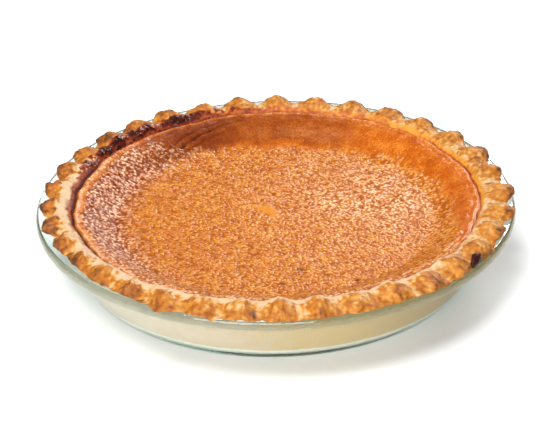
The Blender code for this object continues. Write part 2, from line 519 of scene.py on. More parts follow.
def glass_top(radius):
    """Height of the glass under the dough: it falls outwards, then rounds the lip."""
    share = np.clip((radius - RIM_FLAT_START) / (LIP_CENTRE[0] - RIM_FLAT_START), 0, 1)
    out = np.clip((radius - LIP_CENTRE[0]) / LIP[0], 0, 1)
    return DISH_HEIGHT - RIM_FALL * share - LIP[1] * (1 - np.sqrt(1 - out * out))


rise_of_knuckle = max(high[1] for high, low in EDGE_PROFILE) - 1000 * DISH_HEIGHT
print("a knuckle stands %.1f mm above the rim" % rise_of_knuckle)

# %% [markdown]
# The dough didn't stay as it was pinched. In the oven it slumped outwards, and in
# front it drooped over the glass rim, while behind it shrank back. Each ring of
# the edge slides between the two profiles, is moved by the slump, and is kept
# from sinking into the glass.

# %% Rings of the edge
PINCH_UNEVEN_LENGTH = 1.5 * MM
PINCH_UNEVEN_HEIGHT = 1.1 * MM
PINCH_SLUMP = 1.1 * MM
VALLEY_SLUMP = 2.4 * MM
SHIFT = 1.0 * MM
SHIFT_TO = math.radians(10)
DROOP = (274, 62, 6)
PINCH_DROOP = (0.8 * MM, 2.3 * MM)
VALLEY_DROOP = (2.6 * MM, 1.2 * MM)
EDGE_LIMIT = 120.5 * MM
PLAN_SHARPNESS = 0.9
CREST_SHARPNESS = 2.2
UNDERSIDE_RADIUS = 112.0 * MM
UNDERSIDE_SHARE = 0.81
LIFT = 0.5 * MM


def edge_ring(azimuths, station):
    """Radius and height all round the edge at one station of its profile."""
    outward = station / (len(EDGE_PROFILE) - 1)
    pinch = pinch_at(azimuths, PINCH_SLANT * (1 - outward))
    share = knuckle(pinch, PLAN_SHARPNESS)
    crest = knuckle(pinch, CREST_SHARPNESS)
    high, low = [np.array(point) * MM for point in EDGE_PROFILE[station]]
    longer, higher = UNEVEN[np.round(pinch).astype(int) % PINCHES].T
    slump = VALLEY_SLUMP + (PINCH_SLUMP - VALLEY_SLUMP) * share
    radius = low[0] + (high[0] - low[0] + PINCH_UNEVEN_LENGTH * longer * outward) * share
    radius += (SHIFT * np.cos(azimuths - SHIFT_TO) - slump * np.sin(azimuths)) * outward
    height = low[1] + (high[1] - low[1] + PINCH_UNEVEN_HEIGHT * higher * (1 - outward)) * crest
    droop = zone(azimuths, *DROOP) * outward ** 2
    radius += (VALLEY_DROOP[0] + (PINCH_DROOP[0] - VALLEY_DROOP[0]) * share) * droop
    height -= (VALLEY_DROOP[1] + (PINCH_DROOP[1] - VALLEY_DROOP[1]) * share) * droop
    radius = np.minimum(radius, EDGE_LIMIT)
    return radius, np.maximum(height, glass_top(radius) + LIFT)


def underside_ring(azimuths):
    """Where the dough's underside turns up to its edge, just clear of the glass."""
    tip = edge_ring(azimuths, len(EDGE_PROFILE) - 1)[0]
    radius = UNDERSIDE_RADIUS + (tip - UNDERSIDE_RADIUS) * UNDERSIDE_SHARE
    return radius, glass_top(radius) + LIFT


tips = edge_ring(turn(10 * PINCHES), len(EDGE_PROFILE) - 1)[0]
print("tips lie %.1f to %.1f mm from the axis" % (1000 * tips.min(), 1000 * tips.max()))

# %% [markdown]
# The seam with the filling isn't a circle either. It climbs a little to the back,
# and it waves, as a hand pressed it. A sum of four sines, each going round the pie
# a whole number of times, closes on itself.

# %% Seam between pastry and filling
FILLING_EDGE = (102.4 * MM, 35.2 * MM)
CLIMB = (0.7 * MM, 1.0 * MM)
CLIMB_TO = math.radians(75)

# The seam's waves: how many there are round the pie, where they start, their size.
SEAM_WAVES = (
    (8, 0.7, 0.45 * MM),
    (17, 2.1, 0.45 * MM),
    (35, 3.6, 0.25 * MM),
    (53, 1.0, 0.2 * MM),
)



def filling_edge(azimuths):
    """Radius and height where the filling meets the pastry, a little wavy."""
    climb = np.cos(azimuths - CLIMB_TO)
    wave = sum(size * np.sin(count * azimuths + phase) for count, phase, size in SEAM_WAVES)
    return FILLING_EDGE[0] + CLIMB[0] * climb + wave, FILLING_EDGE[1] + CLIMB[1] * climb


rim_of_filling = filling_edge(turn(PINCHES))[0]
print("the filling reaches at least %.1f mm from the axis" % (1000 * rim_of_filling.min()))

# %% [markdown]
# ## A fine grid for the pastry
# Dough has no corners, so the few cross-section points are only guides: a smooth
# curve, the Catmull-Rom spline, runs through them. Unlike a Bezier curve it
# passes through every guide, so the profile stays as it was described.

# %% A smooth curve through guide points
EDGE_ROWS = 7
TUCKED_UNDER = (1.2 * MM, 4 * MM)


def spline(guides, rows):
    """Rows of places on a smooth curve through guide points, for every azimuth."""
    count = len(guides)
    places = []
    for span in range(count - 1):
        before = guides[max(span - 1, 0)]
        start = guides[span]
        end = guides[span + 1]
        after = guides[min(span + 2, count - 1)]
        for row in range(rows):
            t = row / rows
            places.append(0.5 * (
                2 * start
                + (end - before) * t
                + (2 * before - 5 * start + 4 * end - after) * t ** 2
                + (3 * start - before - 3 * end + after) * t ** 3
            ))
    places.append(guides[-1])
    return places


def crust_guides(azimuths):
    """The edge's guide points, from under the dough's tips to below the filling."""
    flat = np.ones_like(azimuths)
    under = (UNDERSIDE_RADIUS, glass_top(UNDERSIDE_RADIUS) + GAP)
    guides = [np.stack((under[0] * flat, under[1] * flat)), np.stack(underside_ring(azimuths))]
    for station in reversed(range(len(EDGE_PROFILE))):
        guides.append(np.stack(edge_ring(azimuths, station)))
    radius, height = filling_edge(azimuths)
    guides.append(np.stack((radius, height)))
    guides.append(np.stack((radius - TUCKED_UNDER[0], height - TUCKED_UNDER[1])))
    return guides


print("rows across the edge:", len(spline(crust_guides(turn(PINCHES)), EDGE_ROWS)))

# %% [markdown]
# We sample the edge about every half millimetre along and across, which is fine
# enough for flakes and lumps. The wall and floor behind the glass need far fewer
# vertices. The shell's outside reaches a hair into the glass, so that no film of
# air shows between them.

# %% Pastry mesh
EDGE_STEPS = 1384
WALL_STEPS = 350
INTO_GLASS = 0.15 * MM
INSIDE_TOP = FILLING_EDGE[1] - 5 * MM


def make_crust():
    """The shell: pastry floor and wall against the glass, and the pinched edge."""
    outside = bowl_side(GLASS - INTO_GLASS, DISH_HEIGHT - MOUTH_BEND, 8)
    bend_centre = (RIM_FLAT_START, DISH_HEIGHT - MOUTH_BEND)
    bend = arc(bend_centre, MOUTH_BEND - INTO_GLASS, math.pi - WALL_LEAN, math.pi / 2, 5)
    wall = turn(WALL_STEPS)
    loops = [ring(wall, radius, height) for radius, height in outside[:-1] + bend]
    edge = turn(EDGE_STEPS)
    loops += [ring(edge, *place) for place in spline(crust_guides(edge), EDGE_ROWS)]
    inside = bowl_side(GLASS + CRUST, INSIDE_TOP, 4)
    loops += [ring(wall, radius, height) for radius, height in inside[::-1]]
    low = (0, 0, GLASS - INTO_GLASS)
    high = (0, 0, GLASS + CRUST)
    return skin("baked_pastry_shell", loops, low, high)


crust = make_crust()

# %% [markdown]
# ## Tools for rough surfaces
# Baked things have no smooth faces. A noise texture could fake that as bump, but
# the outline would stay smooth, so we move the vertices themselves. NumPy holds
# all the places of a piece in one array and moves them at once. A number stored
# on each vertex as an attribute can then be read by the material.

# %% Read, move and mark the vertices
def places_of(piece):
    """All the vertices of a piece as an array."""
    spots = np.empty(len(piece.data.vertices) * 3)
    piece.data.vertices.foreach_get("co", spots)
    return spots.reshape(-1, 3)


def normals_of(piece):
    """The direction that each vertex faces."""
    spots = np.empty(len(piece.data.vertices) * 3)
    piece.data.vertex_normals.foreach_get("vector", spots)
    return spots.reshape(-1, 3)


def move_to(piece, spots):
    """Moves every vertex to its new place."""
    piece.data.vertices.foreach_set("co", spots.ravel())
    piece.data.update()


def store(piece, name, values):
    """Keeps one number per vertex, for the material to read."""
    layer = piece.data.attributes.new(name, "FLOAT", "POINT")
    layer.data.foreach_set("value", values.astype(np.float32))


def noise_over(spots, length, offset=0.0):
    """Smooth noise from -1 to 1 with bumps of about that length."""
    shift = Vector((offset, offset, offset))
    return np.array([noise.noise(Vector(spot) / length + shift) for spot in spots])


def smooth_step(values, start, end):
    """0 up to start, 1 from end on, and an even curve between."""
    share = np.clip((values - start) / (end - start), 0, 1)
    return share * share * (3 - 2 * share)


def polar(spots):
    """Radius and azimuth of each place."""
    return np.hypot(spots[:, 0], spots[:, 1]), np.arctan2(spots[:, 1], spots[:, 0])


print("vertices to move on the pastry:", len(places_of(crust)))

# %% [markdown]
# ## Lumps, cracks, flakes and furrows
# Baked shortcrust is craggy. It swells where fat melts out, its thin skin tears,
# and the layers under the tears show as small steps. Each is a push along the
# vertex's normal. Lumps are three sizes of plain noise. A crack runs wherever a
# noise passes through zero, since that happens along thin wandering lines. Flakes
# are a noise rounded down to a few levels, like terraces. Furrows are a noise
# drawn out along the radius, because pinching stretches the dough that way.

# %% How far the pastry's skin stands out
LUMPS = ((6.0 * MM, 0.70 * MM), (2.6 * MM, 0.40 * MM), (1.2 * MM, 0.20 * MM))
SKIN_SHRINK = 0.15 * MM
TORN_LENGTH = 7 * MM
CRACK_LENGTH = 5.0 * MM
CRACK_DEPTH = 0.6 * MM
FLAKE_LENGTH = 4.2 * MM
FLAKE_LEVELS = 3.5
FLAKE_RISE = 0.72 * MM
FURROW_WIDTH = 1.5 * MM
FURROW_LENGTH = 6.0 * MM
FURROW_RADIUS = 110 * MM
FURROW_DEPTH = 0.35 * MM
BROW_RADIUS = 106.3 * MM
BROW_REACH = 1.6 * MM
BROW_WAVE = 0.9 * MM


def terraces(values):
    """Values rounded down to whole levels, with a steep but not upright step."""
    level = np.floor(values * FLAKE_LEVELS)
    return (level + smooth_step(values * FLAKE_LEVELS - level, 0.7, 1.0)) / FLAKE_LEVELS


def furrows(radius, azimuth):
    """Noise drawn out along the radius, as pinched dough is stretched."""
    around = FURROW_RADIUS * azimuth / FURROW_WIDTH
    out = radius / FURROW_LENGTH
    return np.array([noise.noise(Vector(spot)) for spot in zip(around, out, np.full(len(out), 3.3))])


def cracks_over(spots, outer):
    """1 in a crack. There are none on the inner brow, which stayed whole."""
    torn = smooth_step(noise_over(spots, TORN_LENGTH, 4.4), 0.0, 0.3) * outer
    line = np.abs(noise_over(spots, CRACK_LENGTH, 7.7))
    return smooth_step(line, 0.08, 0.0) * torn


def push_of_skin(spots, radius, azimuth, crack, furrow, outer):
    """How far each vertex is pushed along its normal."""
    push = np.full(len(spots), -SKIN_SHRINK)
    for length, size in LUMPS:
        push += size * noise_over(spots, length, length * 1e5)
    push -= CRACK_DEPTH * crack
    push += FLAKE_RISE * terraces(noise_over(spots, FLAKE_LENGTH, 2.2)) * outer
    push += FURROW_DEPTH * furrow * outer
    brow = np.exp(-((radius - BROW_RADIUS) / BROW_REACH) ** 2)
    return push + BROW_WAVE * (knuckle(pinch_at(azimuth, PINCH_SLANT), 1.0) - 0.5) * brow


print("lumps of", [round(1000 * length, 1) for length, _ in LUMPS], "mm")

# %% [markdown]
# ## A ragged outline
# Seen from the table, the pie is judged by its outline. A knuckle's tip is torn,
# not round, so noise moves it in and out. The brow over the filling wanders too.
# In front five tips of soft dough sagged over the glass before they set, and at
# one place a drop of burnt sugar will lie in a dent.

# %% Tear the outline
OUTLINE_LENGTH = 5.0 * MM
OUTLINE_WAVE = 1.3 * MM
BROW_LENGTH = 9.0 * MM
BROW_WANDER = 1.5 * MM
FINE_BROW_LENGTH = 3 * MM
FINE_BROW_WANDER = 0.6 * MM
DENT = (322.6, 1.9, 2)
DENT_DEPTH = 1.6 * MM

# Each sagging tip: its azimuth and half its width in degrees, and how far it fell.
TIPS = (
    (222, 2.2, 1.2 * MM),
    (236.2, 1.2, 2.2 * MM),
    (241.6, 1.0, 1.8 * MM),
    (255.2, 1.2, 2.6 * MM),
    (332.8, 1.3, 2.0 * MM),
)
TIP_OUT = 0.25


def make_ragged(spots, radius, azimuth):
    """Moves the outline and the brow in and out, and lets the tips sag."""
    outer = smooth_step(radius, 111 * MM, 117 * MM)
    wander = OUTLINE_WAVE * noise_over(spots, OUTLINE_LENGTH, 1.9) * outer
    over_filling = smooth_step(spots[:, 2], 36.3 * MM, 37.8 * MM)
    at_brow = np.exp(-((radius - 104.8 * MM) / (2.4 * MM)) ** 2) * over_filling
    wander += BROW_WANDER * noise_over(spots, BROW_LENGTH, 5.9) * at_brow
    wander += FINE_BROW_WANDER * noise_over(spots, FINE_BROW_LENGTH, 6.9) * at_brow
    edge = smooth_step(radius, 115.5 * MM, 118.5 * MM)
    wander -= DENT_DEPTH * zone(azimuth, *DENT) * edge
    spots[:, :2] *= (1 + wander / RIM_RADIUS)[:, None]
    for degrees, reach, drop in TIPS:
        sag = drop * zone(azimuth, degrees, reach, 2) * edge
        spots[:, 2] -= sag
        spots[:, :2] *= (1 + TIP_OUT * sag / RIM_RADIUS)[:, None]


print("sagging tips:", len(TIPS))

# %% [markdown]
# Now the pastry is roughened for good: the skin is pushed out and in, and then
# the outline is torn. Only the free dough is pushed, since the rest lies against
# the glass. Afterwards everything is kept on the rim and clear of the glass, as
# the dough was, and within the height of its solid.

# %% Rough up the pastry
RIM_MARGIN = 0.15 * MM
CLEAR_OF_GLASS = 0.1 * MM


def keep_on_rim(spots):
    """No dough beyond the rim, above the box or in the glass."""
    limit = RIM_RADIUS - RIM_MARGIN
    far = polar(spots)[0]
    spots[:, :2] *= np.minimum(1, limit / np.maximum(far, 1e-6))[:, None]
    far = np.minimum(far, limit)
    spots[:, 2] = np.minimum(spots[:, 2], crust_high.z)
    on_rim = far > RIM_FLAT_START + 1 * MM
    lowest = glass_top(far) + CLEAR_OF_GLASS
    spots[:, 2] = np.where(on_rim, np.maximum(spots[:, 2], lowest), spots[:, 2])


def rough_up_crust():
    """Pushes the skin, tears the outline, and hands back what browning needs."""
    spots = places_of(crust)
    radius, azimuth = polar(spots)
    free = smooth_step(spots[:, 2] - glass_top(radius), 0.4 * MM, 1.4 * MM)
    free *= smooth_step(radius, 101.5 * MM, 104.5 * MM)
    outer = smooth_step(radius, 106 * MM, 110 * MM)
    crack = cracks_over(spots, outer)
    furrow = furrows(radius, azimuth)
    push = push_of_skin(spots, radius, azimuth, crack, furrow, outer)
    spots += normals_of(crust) * (push * free)[:, None]
    make_ragged(spots, radius, azimuth)
    keep_on_rim(spots)
    move_to(crust, spots)
    store(crust, "crack", crack * free)
    return spots, radius, azimuth, furrow


crust_spots, crust_radius, crust_azimuth, crust_furrow = rough_up_crust()
print("pastry edge is %.1f mm high" % (1000 * crust_spots[:, 2].max()))

# %% [markdown]
# ## Where the pastry browned
# An oven browns what sticks out: the knuckles go gold and their tips nearly
# burn, while the notches and the inner brow stay as pale as cream. No two
# knuckles brown alike, so each draws its own share. The left was nearest to the
# heat, and behind the gold reaches furthest in. Each of these is one number per
# vertex, worked out from where the vertex is, and stored for the material.

# %% Browning of the knuckles
TOAST_SEED = 7

# Sides of the pie: the azimuth of the middle and the reach in degrees, and how
# squarely the zone ends.
FRONT = (270, 70, 4)
BACK = (90, 70, 4)
LEFT = (185, 55, 2)
RIGHT = (355, 45, 4)


def luck_of_knuckles(pinch):
    """How much more or less than usual the nearest knuckle browned, from -1 to 1."""
    draw = random.Random(TOAST_SEED)
    luck = np.array([draw.uniform(-1, 1) for _ in range(PINCHES)])
    return luck[np.round(pinch).astype(int) % PINCHES]


def gold_of_crust(across, lobe, luck, patch, speck):
    """How brown the dough is: 0 where it stayed pale, about 1 where it burnt."""
    front, back, left, right = [zone(crust_azimuth, *side) for side in (FRONT, BACK, LEFT, RIGHT)]
    start = 0.26 - 0.34 * back + 0.08 * left - 0.2 * right + 0.04 * front + 0.24 * patch + 0.08 * luck
    golden = smooth_step(across + 0.16 * speck + 0.12 * crust_furrow, start - 0.16, start + 0.24)
    toasted = golden * (0.31 + 0.15 * lobe + 0.2 * left + 0.07 * luck)
    toasted += golden * (0.30 * patch + 0.20 * speck + 0.26 * crust_furrow)
    return toasted + 0.22 * smooth_step(across, 0.75, 1.02) * (1 - 0.6 * front)


def scorch_of_crust(across, share, speck):
    """1 on the tips that nearly burnt. In front they lay on the glass and didn't."""
    front, back, left = [zone(crust_azimuth, *side) for side in (FRONT, BACK, LEFT)]
    start = 0.90 - 0.34 * back - 0.08 * left
    tips = smooth_step(across + 0.1 * speck, start, start + 0.12) * smooth_step(share, 0.3, 0.7)
    spotty = smooth_step(noise_over(crust_spots, 2.4 * MM, 9.7), -0.05, 0.25)
    return tips * (1 - 0.9 * front) * spotty


print("the front is the side within %d degrees of azimuth %d" % (FRONT[1], FRONT[0]))

# %% [markdown]
# Where the pastry lies against the glass it neither browned nor burnt. Whether a
# vertex is there shows in its normal, which points down, and in its place below
# the rim. The brow's inside is left out, as it never touched the glass.

# %% Brown the free dough
ACROSS_START = 105 * MM
ACROSS_WIDTH = 12.5 * MM


def brown_the_crust(patch, speck):
    """Stores how far the free dough is toasted and scorched."""
    pinch = pinch_at(crust_azimuth, PINCH_SLANT * 0.4)
    share = knuckle(pinch, 1.0)
    lobe = smooth_step(share, 0.08, 0.55)
    slump = (VALLEY_SLUMP + (PINCH_SLUMP - VALLEY_SLUMP) * share) * np.sin(crust_azimuth)
    across = (crust_radius - ACROSS_START) / (ACROSS_WIDTH - slump)
    above_glass = smooth_step(normals_of(crust)[:, 2], -0.3, 0.0)
    above_glass = np.maximum(above_glass, smooth_step(crust_radius, 113 * MM, 115 * MM))
    above_glass *= smooth_step(crust_spots[:, 2], 33.2 * MM, 33.6 * MM)
    toasted = gold_of_crust(across, lobe, luck_of_knuckles(pinch), patch, speck)
    inside = smooth_step(crust_spots[:, 2], 30 * MM, 31 * MM) * (crust_radius < 104.6 * MM)
    store(crust, "toasted", np.clip(toasted * above_glass, 0, 1))
    store(crust, "scorched", 0.85 * scorch_of_crust(across, share, speck) * above_glass)
    store(crust, "under_glass", (1 - above_glass) * (1 - inside))
    print("mean browning of the free dough: %.2f" % toasted[above_glass > 0.5].mean())


crust_patch = noise_over(crust_spots, 5 * MM, 3.1)
crust_speck = noise_over(crust_spots, 1.7 * MM, 8.1)
brown_the_crust(crust_patch, crust_speck)

# %% [markdown]
# ## Where the filling stained the pastry
# On the inner wall the filling rose, boiled and sank again. It left an orange
# stain on one side and a dark one behind on the left, where most of it boiled
# over. Along the seam with the filling the stain is darker still: painted shade
# of the gap. Under the glass the dough steamed and stayed pale. Its right side is
# painted darker and more tan, as painted shade of the side away from the lights,
# and a band next to the foot is painted nearly white, as painted light.

# %% Stains on the inner wall
BOILED = (138, 36, 2)
STAINED = (22, 36, 4)
DRY = (75, 42, 4)
SHRUNK = (222, 32, 4)
WALL_TOP = 38.2 * MM
WALL_TOP_SHRUNK = 2.6 * MM
WALL_TOP_BACK = 1.3 * MM
FOOT_SCALE = 10 * MM


def stain_the_crust(patch, speck):
    """Stores where the filling soaked in, how dark it boiled, with painted shade along the seam, and
    where on the wall.
    """
    edge_radius, edge_height = filling_edge(crust_azimuth)
    wall = 1 - smooth_step(crust_radius, edge_radius + 1.6 * MM, edge_radius + 3.0 * MM)
    ragged = 2.2 * MM * noise_over(crust_spots, 4 * MM, 6.6) + 0.8 * MM * speck
    top = WALL_TOP - WALL_TOP_SHRUNK * zone(crust_azimuth, *SHRUNK)
    top += WALL_TOP_BACK * zone(crust_azimuth, *BACK)
    wall *= 1 - smooth_step(crust_spots[:, 2] + ragged, top, top + 0.9 * MM)
    seam = np.exp(-((crust_spots[:, 2] - edge_height - 0.2 * MM) / (0.6 * MM)) ** 2) * wall
    dry = zone(crust_azimuth, *DRY)
    boiled = 0.42 + 0.35 * zone(crust_azimuth, *BOILED) - 0.40 * zone(crust_azimuth, *STAINED)
    # Along the seam with the filling the stain is darkened: painted shade of the gap.
    boiled += (0.6 - 0.5 * dry) * seam - 0.16 * dry + 0.3 * speck + 0.25 * patch
    store(crust, "soaked", wall)
    store(crust, "boiled", np.clip(boiled, 0, 1))
    # The height near the foot, where the material paints a band of light.
    store(crust, "foot", np.clip(crust_spots[:, 2] / FOOT_SCALE, 0, 1))
    # Painted shade: the wall's right side, away from the lights, is stored for a darker, tanner
    # colour.
    store(crust, "side", smooth_step(crust_spots[:, 0], -95 * MM, 70 * MM))
    marks = [layer.name for layer in crust.data.attributes if layer.data_type == "FLOAT"]
    print("numbers stored on each vertex:", marks)


stain_the_crust(crust_patch, crust_speck)

# %% [markdown]
# Shortcrust is flour, butter and water. Its browning is the Maillard reaction,
# which runs from cream over gold to brown as the oven goes on, so one colour ramp
# holds all of it, and a noise with patches of 2 mm makes it uneven. The filling's
# stain is laid over that, and then the scorched tips and the cracks, each where
# its number on the vertices says. The cracks' darker brown is painted shade.

# %% Colour of the free dough
PASTRY_PATCH = 2.0 * MM
BROWNING = (
    (0.04, "#D2AE88"),
    (0.20, "#CA9A5C"),
    (0.36, "#BC7A24"),
    (0.56, "#A86016"),
    (0.78, "#7E440F"),
    (1.0, "#4E2C12"),
)
STAIN = (
    (0.0, "#D49030"),
    (0.35, "#B05820"),
    (0.65, "#82341A"),
    (1.0, "#40161A"),
)


def dough_colour(material, place):
    """The dough as it browned, with stain, scorched tips and the painted shade of cracks laid over it.
    """
    patches = add(material, "TexNoise", {
        "Vector": place, "Scale": 1 / PASTRY_PATCH, "Detail": 4.0, "Roughness": 0.65,
    })
    shift = add(material, "Math", {
        0: patches.outputs["Fac"], 1: 0.8, 2: -0.4,
    }, operation="MULTIPLY_ADD")
    toasted = add(material, "Attribute", attribute_name="toasted")
    baked = add(material, "Math", {0: toasted.outputs["Fac"], 1: shift.outputs[0]}, use_clamp=True)
    dough = add(material, "ValToRGB", {"Fac": baked.outputs[0]}, stops=BROWNING)
    boiled = add(material, "Attribute", attribute_name="boiled")
    stain = add(material, "ValToRGB", {"Fac": boiled.outputs["Fac"]}, stops=STAIN)
    soaked = add(material, "Attribute", attribute_name="soaked")
    stained = add(material, "Mix", {
        0: soaked.outputs["Fac"], 6: dough.outputs["Color"], 7: stain.outputs["Color"],
    }, data_type="RGBA")
    colour = stained.outputs[2]
    # The scorched tips are browning; the darker brown in the cracks is painted shade.
    for name, code in (("scorched", "#52300F"), ("crack", "#9A5C22")):
        share = add(material, "Attribute", attribute_name=name)
        mix = add(material, "Mix", {
            0: share.outputs["Fac"], 6: colour, 7: linear(code),
        }, data_type="RGBA")
        colour = mix.outputs[2]
    return colour


print("browning runs from", BROWNING[0][1], "to", BROWNING[-1][1])

# %% [markdown]
# The wall behind the glass stays cream, as the dough there steamed. It varies in
# clouds of 7 mm, and its right side is painted darker and more tan: painted shade
# of the side away from the lights. The band by the foot is painted nearly white,
# as painted light where the glass foot catches it.

# %% Colour of the wall behind the glass
PASTRY_CLOUD = 7 * MM
LIT_FOOT_BAND_END = (6.6 * MM, 7.4 * MM)
STEAMED = (
    (0.2, "#E8D2C0"),
    (0.75, "#DABEA2"),
    (1.0, "#DAB88A"),
)


def wall_colour(material, place):
    """Steamed dough: cream, with painted shade on one side and painted light by the foot."""
    clouds = add(material, "TexNoise", {"Vector": place, "Scale": 1 / PASTRY_CLOUD, "Detail": 2.0})
    # Painted shade: the right side turns darker and more tan.
    side = add(material, "Attribute", attribute_name="side")
    baking = add(material, "Math", {
        0: clouds.outputs["Fac"], 1: 0.5, 2: side.outputs["Fac"],
    }, operation="MULTIPLY_ADD")
    pale = add(material, "ValToRGB", {"Fac": baking.outputs[0]}, stops=STEAMED)
    # Painted light: below the band's end the wall turns nearly white.
    foot = add(material, "Attribute", attribute_name="foot")
    low = add(material, "MapRange", {
        "Value": foot.outputs["Fac"],
        "From Min": LIT_FOOT_BAND_END[0] / FOOT_SCALE,
        "From Max": LIT_FOOT_BAND_END[1] / FOOT_SCALE,
        "To Min": 1.0,
        "To Max": 0.0,
    })
    wall = add(material, "Mix", {
        0: low.outputs[0], 6: pale.outputs["Color"], 7: linear("#FFF9EE"),
    }, data_type="RGBA")
    return wall.outputs[2]


print("the pale band ends %.1f mm above the table" % (1000 * LIT_FOOT_BAND_END[1]))

# %% [markdown]
# Both colours meet in one material. Flour leaves a grain of 0.8 mm on the dough,
# which is bump, since it is too fine for the mesh. The fat leaves a faint sheen,
# hence a middling roughness of 0.55.

# %% Pastry material
PASTRY_GRAIN = 0.8 * MM
PASTRY_GRAIN_DEPTH = 0.35 * MM


def pastry_material():
    """Baked shortcrust: pale in the notches, gold to brown on the knuckles."""
    material, output = empty_material("baked shortcrust")
    place = add(material, "TexCoord").outputs["Object"]
    under = add(material, "Attribute", attribute_name="under_glass")
    colour = add(material, "Mix", {
        0: under.outputs["Fac"], 6: dough_colour(material, place), 7: wall_colour(material, place),
    }, data_type="RGBA")
    grain = add(material, "TexNoise", {
        "Vector": place, "Scale": 1 / PASTRY_GRAIN, "Detail": 3.0, "Roughness": 0.6,
    })
    bump = add(material, "Bump", {
        "Height": grain.outputs["Fac"], "Distance": PASTRY_GRAIN_DEPTH, "Strength": 0.7,
    })
    shader = add(material, "BsdfPrincipled", {
        "Base Color": colour.outputs[2],
        "Roughness": 0.55,
        "Specular IOR Level": 0.3,
        "Normal": bump.outputs["Normal"],
    })
    return finish_material(material, shader.outputs["BSDF"], output)


crust.data.materials.append(pastry_material())
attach(crust, "root")
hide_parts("crust")

# %% [markdown]
# ## The filling
# The custard of sweet potato, egg and milk puffed up in the oven and sank again
# as it cooled. It clings to the pastry with a thin raised lip, slopes down, and
# is nearly flat in the middle. In front on the left it shrank away from the wall
# and left a dark groove. Rings of equally many vertices would crowd together at
# the centre of a disc, so each ring has six more than the one inside it, as in a
# honeycomb, and all the triangles come out about the same size.

# %% Filling mesh
FILLING_RINGS = 174
LIP_TOP = (1.4 * MM, 0.5 * MM)
SLOPE_START = (3.7 * MM, -0.4 * MM)
SUNK_HEIGHT = 26.8 * MM
SUNK_RADIUS = 79 * MM
MIDDLE_DOME = 0.7 * MM
INTO_CRUST = 0.4 * MM
SIDE_TOP = FILLING_EDGE[1] - 4 * MM


def filling_height(radius, azimuths):
    """The top's height: a lip, a slope and a sunk middle, each an eased step."""
    edge_radius, edge_height = filling_edge(azimuths)
    inset = edge_radius - radius
    lip_inset, lip_rise = LIP_TOP
    slope_inset, slope_rise = SLOPE_START
    height = edge_height + lip_rise * smooth_step(inset, 0, lip_inset)
    height = height + (slope_rise - lip_rise) * smooth_step(inset, lip_inset, slope_inset)
    fall = edge_height + slope_rise - SUNK_HEIGHT
    height = height - fall * smooth_step(inset, slope_inset, edge_radius - SUNK_RADIUS)
    return height + MIDDLE_DOME * np.maximum(0, 1 - (radius / SUNK_RADIUS) ** 2)


def make_filling():
    """The side in a few rings, then the top in rings of ever fewer vertices."""
    around = turn(2 * FILLING_RINGS)
    side = bowl_side(GLASS + CRUST - INTO_CRUST, SIDE_TOP, 3)
    loops = [ring(around, radius, height) for radius, height in side]
    for number in range(FILLING_RINGS, 0, -1):
        azimuths = turn(6 * number)
        share = number / FILLING_RINGS
        radius = (filling_edge(azimuths)[0] + INTO_CRUST) * share
        loops.append(ring(azimuths, radius, filling_height(radius, azimuths)))
    low = (0, 0, side[0][1])
    high = (0, 0, SUNK_HEIGHT + MIDDLE_DOME)
    return skin("baked_filling_top", loops, low, high)


filling = make_filling()

# %% [markdown]
# ## Pimples, creases and pits
# While it baked, the custard simmered under its skin. That leaves thousands of
# blisters under 2 mm apart, each a little dome. Voronoi cells are made for this:
# every vertex asks how far the nearest cell centre is, and rises by the more the
# nearer it is. On the slope the skin was stretched smooth, so the blisters are
# lower there. Behind on the left it slid down and folded into creases.

# %% Blisters and the smooth slope
BLISTER_SPACING = 1.7 * MM
BLISTER_REACH = 0.75
BAND_WIDTH = 17 * MM
BAND_WIDER = 8 * MM
BAND_WIDEST = (88, 32, 2)
BAND = (57, 78, 6)


def blisters(spots):
    """A dome over each cell: 1 at its centre and about 0 at its border."""
    found = np.empty(len(spots))
    for index, spot in enumerate(spots):
        flat = Vector((spot[0], spot[1], 0)) / BLISTER_SPACING
        found[index] = noise.voronoi(flat)[0][0]
    return np.clip(1 - (found / BLISTER_REACH) ** 2, 0, 1)


def smooth_band(spots, inset, azimuth):
    """1 on the smooth slope behind and on the right, 0 where blisters cover it."""
    width = BAND_WIDTH + BAND_WIDER * zone(azimuth, *BAND_WIDEST)
    width *= zone(azimuth, *BAND)
    ragged = 3.0 * MM * noise_over(spots, 9 * MM, 6.1) + 4.0 * MM * noise_over(spots, 2.2 * MM, 2.6)
    band = 1 - smooth_step(inset + ragged, width - 3.5 * MM, width + 2.5 * MM)
    return band * smooth_step(width, 1 * MM, 4 * MM)


blister_count = math.pi * (SUNK_RADIUS / BLISTER_SPACING) ** 2
print("blisters in the sunk middle: about %d" % round(blister_count, -2))

# %% [markdown]
# The creases are folds of the skin that slid down the slope. They lie side by
# side and all slant the same way, so they are a cosine across their direction.
# A noise bends them and breaks them up, since no fold runs far.

# %% Creases
CREASES = (120, 18, 2)
CREASE_SLOPE = 0.39 * MM
CREASE_RADIUS = 90.1 * MM
CREASE_REACH = 5 * MM
CREASE_SPACING = 3.4 * MM


def creases(spots, radius, azimuth):
    """Ridges above 0 and folds below it, all slanting the same way."""
    away = near(azimuth, math.radians(CREASES[0]))
    off = radius - (CREASE_RADIUS - CREASE_SLOPE * away)
    reach = zone(azimuth, *CREASES) * np.exp(-(off / CREASE_REACH) ** 2)
    wander = 1.6 * noise_over(spots, 6 * MM, 5.5) + 0.9 * noise_over(spots, 2.2 * MM, 1.5)
    broken = np.clip(0.75 + 0.9 * noise_over(spots, 5 * MM, 8.5), 0, 1.3)
    wave = np.cos(math.tau * off / CREASE_SPACING + wander + math.pi)
    return reach * broken * wave


print("creases %.1f mm apart" % (1000 * CREASE_SPACING))

